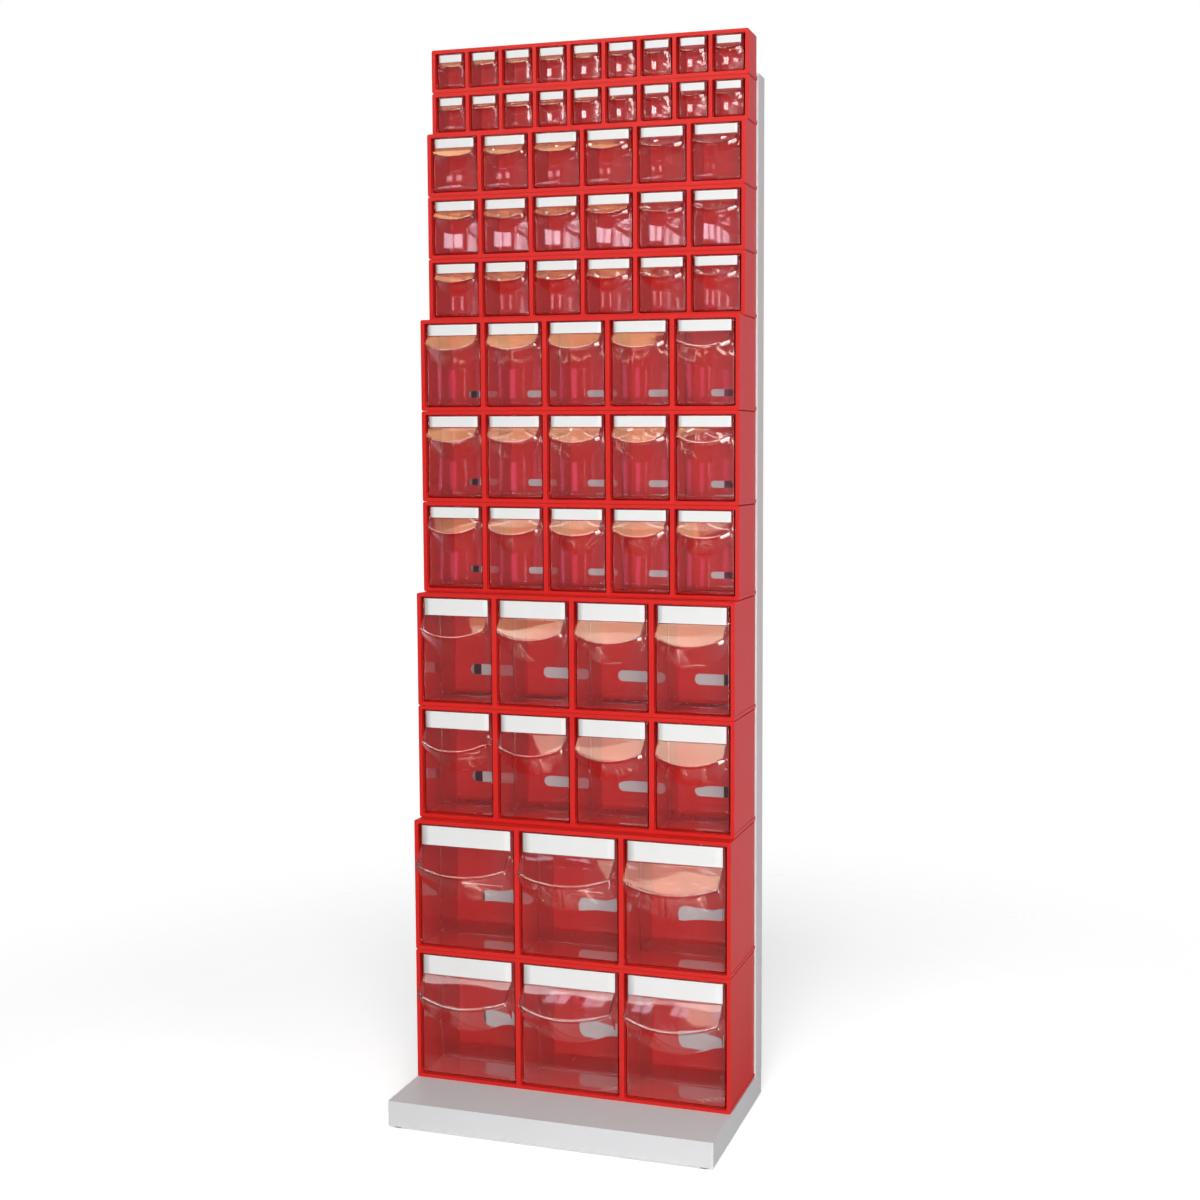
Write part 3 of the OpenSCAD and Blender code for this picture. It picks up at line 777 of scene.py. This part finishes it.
span = np.linspace(-STUDIO_HALF, STUDIO_HALF, STUDIO_POINTS)
across, along = np.meshgrid(span, span)
grid_mesh("floor", np.stack([across, along, 0 * across - STUDIO_DROP], -1), studio_floor())


def lamp(name, place, target, size, power):
    """A soft area lamp that faces a target point and doesn't show in mirror-like surfaces."""
    data = bpy.data.lights.new(name, "AREA")
    data.shape = "RECTANGLE"
    data.size, data.size_y = size
    data.energy = power
    lamp_object = bpy.data.objects.new(name, data)
    lamp_object.location = place
    lamp_object.rotation_euler = (Vector(target) - Vector(place)).to_track_quat("-Z", "Y").to_euler()
    lamp_object.visible_glossy = lamp_object.visible_transmission = False
    bpy.context.scene.collection.objects.link(lamp_object)


lamp("key_lamp", (1.15, -3.1, 1.2), (0, 0, 0.9), (2.0, 2.2), 95)
lamp("top_lamp", (0.5, -2.0, 5.2), (0, 0, 0.4), (2.6, 1.6), 100)
lamp("side_lamp", (3.0, -0.9, 1.5), (0, 0, 0.9), (1.0, 2.0), 24)


# ---- the room that the clear bins mirror ----

# Share of a card's colour in its dark streaks and in its bright ones
STREAK_RANGE = (0.25, 1.75)
# Plane of the panes that the flat fronts mirror
GLINT_Y = -0.8
# How far the narrow face's strip lies from it, and how far the nose's strip lies before and above the nose
FACE_LIFT = 6 * MM
NOSE_LIFT = ([0, -5 * MM, 0], [0, -3 * MM, 5 * MM])
# Share of the narrow face's width at which its strip starts, and of the nose's half at which lines end
BAND_START = 0.05
LINE_END = -0.95
EDGE_END = 0.99
# Where the bright end of a nose starts in the first cell of each size, and how much earlier in each next cell
EDGE_START = (0.9, 0.93, 0.97, 0.98, 0.98)
EDGE_STEP = (0.04, 0.065, 0.08, 0.05, 0)


def card_light(name, panes, strength, colour, streaks):
    """A glowing card that only mirror-like surfaces show, with streaks at a scale for each axis: panes of two rows
    of corners each."""
    material, g = new_material(name)
    bands = g.noise(g.place(streaks), 1.0, 4, 0.6)
    dark, bright = (tuple(share * part for part in colour) for share in STREAK_RANGE)
    g.surface(g.add("ShaderNodeEmission", None, {"Color": g.mix(bands, dark, bright), "Strength": strength}))
    card = join(name, [grid_mesh(name, np.array(pane, float).reshape(2, -1, 3), material) for pane in panes])
    card.visible_camera = card.visible_diffuse = card.visible_shadow = False


def glint(row, cell, left, right, low, high):
    """Corners of the pane that the flat front of one bin mirrors to the camera, between two shares of the front's
    width and two shares of its height."""
    size = STACK[row]
    face_y = REAR_Y - UNIT_D[size] + RECESS
    x = cell_x(size, cell) + (2 * np.array([left, right]) - 1) * bin_half(size)
    z = UNDERSIDE[row] + FLOOR_Z + np.array([low, high]) * (bin_top(size) - FLOOR_Z)
    reach = (face_y - GLINT_Y) / (face_y - CAMERA.y)
    across, up = np.meshgrid(x + (x - CAMERA.x) * reach, z + (z - CAMERA.z) * reach)
    return np.stack([across, np.full((2, 2), GLINT_Y), up], -1)


def nose_turn(size, left, right, points):
    """Angles about the middle of a grip's disc, between two shares of the way from its nose's middle to its end."""
    _, disc, _ = grip_disc(size)
    return math.asin((bin_half(size) - EDGE_R) / disc) * np.linspace(left, right, points)


def nose_points(row, cell, turn, out):
    """Points on the cylinder of one grip's disc, at angles about its middle and so far above the slope."""
    size = STACK[row]
    middle, disc, _ = grip_disc(size)
    sine, cosine = math.sin(GRIP_ANGLE), math.cos(GRIP_ANGLE)
    along = middle + disc * np.cos(turn)
    return np.stack([cell_x(size, cell) + disc * np.sin(turn),
                     REAR_Y - UNIT_D[size] + RECESS - along * sine - out * cosine,
                     UNDERSIDE[row] + grip_top(size) - along * cosine + out * sine], -1)


def nose_glint(row, cell, left, right):
    """Strip close below one grip's nose that the narrow face there mirrors to the camera, between two shares of the
    way from the nose's middle to its right end: each point of the face, moved along its mirrored ray."""
    size = STACK[row]
    _, _, band = grip_disc(size)
    turn = nose_turn(size, left, right, 5)
    normal = np.stack([np.sin(turn), -np.cos(turn) * math.sin(GRIP_ANGLE), -np.cos(turn) * math.cos(GRIP_ANGLE)], -1)
    strip = []
    for share in (BAND_START, 1):
        at = nose_points(row, cell, turn, -share * band)
        view = np.array(CAMERA) - at
        view /= np.linalg.norm(view, axis=1, keepdims=True)
        strip.append(at + FACE_LIFT * (2 * (normal * view).sum(1, keepdims=True) * normal - view))
    return np.stack(strip)


def nose_line(row, cell, left, right):
    """Strip just in front of one grip's nose, between two shares of the way from its middle to either end, which
    the rounded nose mirrors as a thin line: the nose's own curve, moved forward and upward."""
    at = nose_points(row, cell, nose_turn(STACK[row], left, right, 13), 0)
    return np.stack([at + lift for lift in NOSE_LIFT])


def edge_start(size, cell):
    """Share of the nose's half at which its bright end starts: in the cells further right, it reaches further in."""
    return EDGE_START[size] - EDGE_STEP[size] * cell


# The ceiling's height, and from the rear forwards the left x, the right x and the y of its warm and peach parts
CEILING_Z = 3.0
WARM = np.array([(-1.30, -0.38, 0.24), (-1.34, -0.42, -0.20), (-1.25, -0.32, -0.48), (-0.98, -0.30, -1.00),
                 (-0.70, -0.30, -1.50)])
ceiling = np.stack([np.stack([x, WARM[:, 2], 0 * x + CEILING_Z], -1) for x in (WARM[:, 0], WARM[:, 1])], 1)
card_light("warm_ceiling", [ceiling[k:k + 2] for k in (0, 1)], 3.5, (1, 0.66, 0.34), (4, 1.5, 1))
card_light("peach_ceiling", [ceiling[k:k + 2] for k in (2, 3)], 5.4, (1, 0.85, 0.64), (4, 1.5, 1))
card_light("pale_ceiling", [
    [(-1.2, 0.26, CEILING_Z), (0.0, 0.26, CEILING_Z), (-1.2, 0.36, CEILING_Z), (0.0, 0.36, CEILING_Z)],
], 5.0, (1, 0.93, 0.80), (12, 6, 1))
card_light("strip_lights", [
    [(-3.2, -2.4, 3.1), (1.6, -2.4, 3.1), (-3.2, -2.2, 3.3), (1.6, -2.2, 3.3)],
    [(-2.7, -1.6, 0.2), (-2.6, -1.4, 0.2), (-2.7, -1.6, 2.6), (-2.6, -1.4, 2.6)],
    [(2.3, -1.6, 0.2), (2.4, -1.4, 0.2), (2.3, -1.6, 2.6), (2.4, -1.4, 2.6)],
], 8.0, (1, 0.97, 0.94), (1, 1, 1))

every_bin = [(row, size, cell) for row, size in enumerate(STACK) for cell in range(BINS_IN[size])]
edges = [nose_glint(row, cell, edge_start(size, cell), EDGE_END) for row, size, cell in every_bin]
lines = [nose_line(row, cell, LINE_END, edge_start(size, cell)) for row, size, cell in every_bin if size > 1]
card_light("nose_edges", edges, 14.0, (1, 0.98, 0.96), (1, 1, 1))
card_light("nose_lines", lines, 9.0, (1, 0.90, 0.80), (1, 1, 1))

# Panes in the fronts, as shares of a front's width and height. The mirrored windows stand still, so their right edge
# and their streaks move left from bin to bin.
PANE_LEFT, PANE_LOW, PANE_HIGH = 0.12, 0.02, 0.54
WINDOW_EDGE, WINDOW_STEP, BAR_HALF = 0.75, 0.064, 0.02
STREAK_W, STREAK_HIGH = 0.05, 0.5
SHORT_STREAK_INSET, SHORT_STREAK = 0.1, (0.2, 0.3)
FIRST_SMALL, SMALL_PANES = 3, ((0.12, 0.28, 0.05, 0.45), (0.32, 0.46, 0.05, 0.45))
HAZE, HAZE_EDGE, HAZE_STEP, HAZE_HEIGHTS = (0.13, 0.2), (0.40, 0.56), 0.02, (0.03, 0.5)
THIN_STREAK, THIN_STEP = (0.79, 0.80), 0.05


def window_halves(cell):
    """Left and right edge of each half of the window in one front, with a bar between them."""
    edge = WINDOW_EDGE - WINDOW_STEP * cell
    bar = PANE_LEFT + 0.5 * (edge - PANE_LEFT)
    return (PANE_LEFT, bar - BAR_HALF), (bar + BAR_HALF, edge)


nine_rows, six_rows, five_rows = ([row for row, size in enumerate(STACK) if size == which] for which in (0, 1, 2))
window, streaks, haze, small = [], [], [], []
for cell in range(BINS_IN[1]):
    for left, right in window_halves(cell):
        window.append(glint(six_rows[1], cell, left, right, PANE_LOW, PANE_HIGH))
        streaks.append(glint(six_rows[2], cell, right - STREAK_W, right, PANE_LOW, STREAK_HIGH))
        streaks.append(glint(six_rows[0], cell, left + SHORT_STREAK_INSET, right, *SHORT_STREAK))
for row in nine_rows:
    for cell in range(FIRST_SMALL, BINS_IN[0]):
        small += [glint(row, cell, *pane) for pane in SMALL_PANES]
for row in five_rows:
    for cell in range(BINS_IN[2]):
        haze.append(glint(row, cell, HAZE_EDGE[0], HAZE_EDGE[1] - HAZE_STEP * cell, *HAZE_HEIGHTS))
        haze.append(glint(row, cell, *HAZE, *HAZE_HEIGHTS))
        streaks.append(glint(row, cell, *(side - THIN_STEP * cell for side in THIN_STREAK), *HAZE_HEIGHTS))
card_light("window_panes", window, 6.5, (0.95, 0.86, 1.0), (40, 1, 1.2))
card_light("small_panes", small, 14.0, (1.0, 0.93, 0.93), (30, 1, 1.2))
card_light("window_streaks", streaks, 4.0, (1.0, 0.8, 0.9), (60, 1, 4))
card_light("window_haze", haze, 2.2, (1.0, 0.22, 0.42), (25, 1, 3))

# Painted shade: a dark sheet behind the column, seen only through the clear bins, which shows as shade through the
# column's holes: its x, y and z
SHADE_SHEET_X, SHADE_SHEET_Y, SHADE_SHEET_Z = (-0.6, 0.29), 0.17, (0.06, 1.84)
shade_sheet_paint, g = new_material("painted_shade_sheet")
g.surface(g.add("ShaderNodeBsdfDiffuse", None, {"Color": (0.03, 0.02, 0.02)}))
across, up = np.meshgrid(SHADE_SHEET_X, SHADE_SHEET_Z)
dark = grid_mesh("painted_shade_sheet", np.stack([across, np.full((2, 2), SHADE_SHEET_Y), up], -1), shade_sheet_paint)
dark.visible_camera = dark.visible_diffuse = dark.visible_glossy = dark.visible_shadow = False


def white_room():
    """World: white to the camera, dim for soft light, and a pale pink to mirror-like surfaces, dimmer before the
    cabinet than behind it."""
    world = bpy.data.worlds.new("white_room")
    bpy.context.scene.world = world
    world.use_nodes = True
    room = Graph(world.node_tree)
    seen, mirrored = room.rays()
    way = room.add("ShaderNodeSeparateXYZ", None, {0: room.add("ShaderNodeTexCoord", out="Generated")}, "Y")
    level = seen + (1 - seen) * (mirrored * room.ease(way, -0.3, 0.3, 0.30, 1.0) + (1 - mirrored) * 0.20)
    room.add("ShaderNodeOutputWorld", None, {"Surface": room.add("ShaderNodeBackground", None, {
        "Color": room.mix(mirrored, (1, 1, 1), (1, 0.72, 0.80)), "Strength": level})})


white_room()


def aim(yaw, pitch, roll):
    """Camera axes: forward from yaw and pitch, right level, up square to both, then turned by the roll."""
    forward = Vector((-math.sin(yaw) * math.cos(pitch), math.cos(yaw) * math.cos(pitch), math.sin(pitch)))
    right = Vector((math.cos(yaw), math.sin(yaw), 0))
    up = right.cross(forward)
    across = right * math.cos(roll) + up * math.sin(roll)
    above = up * math.cos(roll) - right * math.sin(roll)
    return Matrix((across, above, -forward)).transposed()


camera_data = bpy.data.cameras.new("camera")
camera_data.sensor_width = SENSOR
camera_data.lens = FOCAL_PX * SENSOR / FRAME_PX
camera_data.shift_x = (FRAME_PX / 2 - MIDDLE_X) / FRAME_PX
camera_data.shift_y = (MIDDLE_Y - FRAME_PX / 2) / FRAME_PX
camera = bpy.data.objects.new("camera", camera_data)
camera.matrix_world = Matrix.Translation(CAMERA) @ aim(YAW, PITCH, ROLL).to_4x4()
bpy.context.scene.collection.objects.link(camera)
bpy.context.scene.camera = camera

bpy.context.scene.view_settings.view_transform = "Standard"
bpy.context.scene.cycles.max_bounces = 20
bpy.context.scene.cycles.transmission_bounces = 18
bpy.context.scene.cycles.transparent_max_bounces = 24
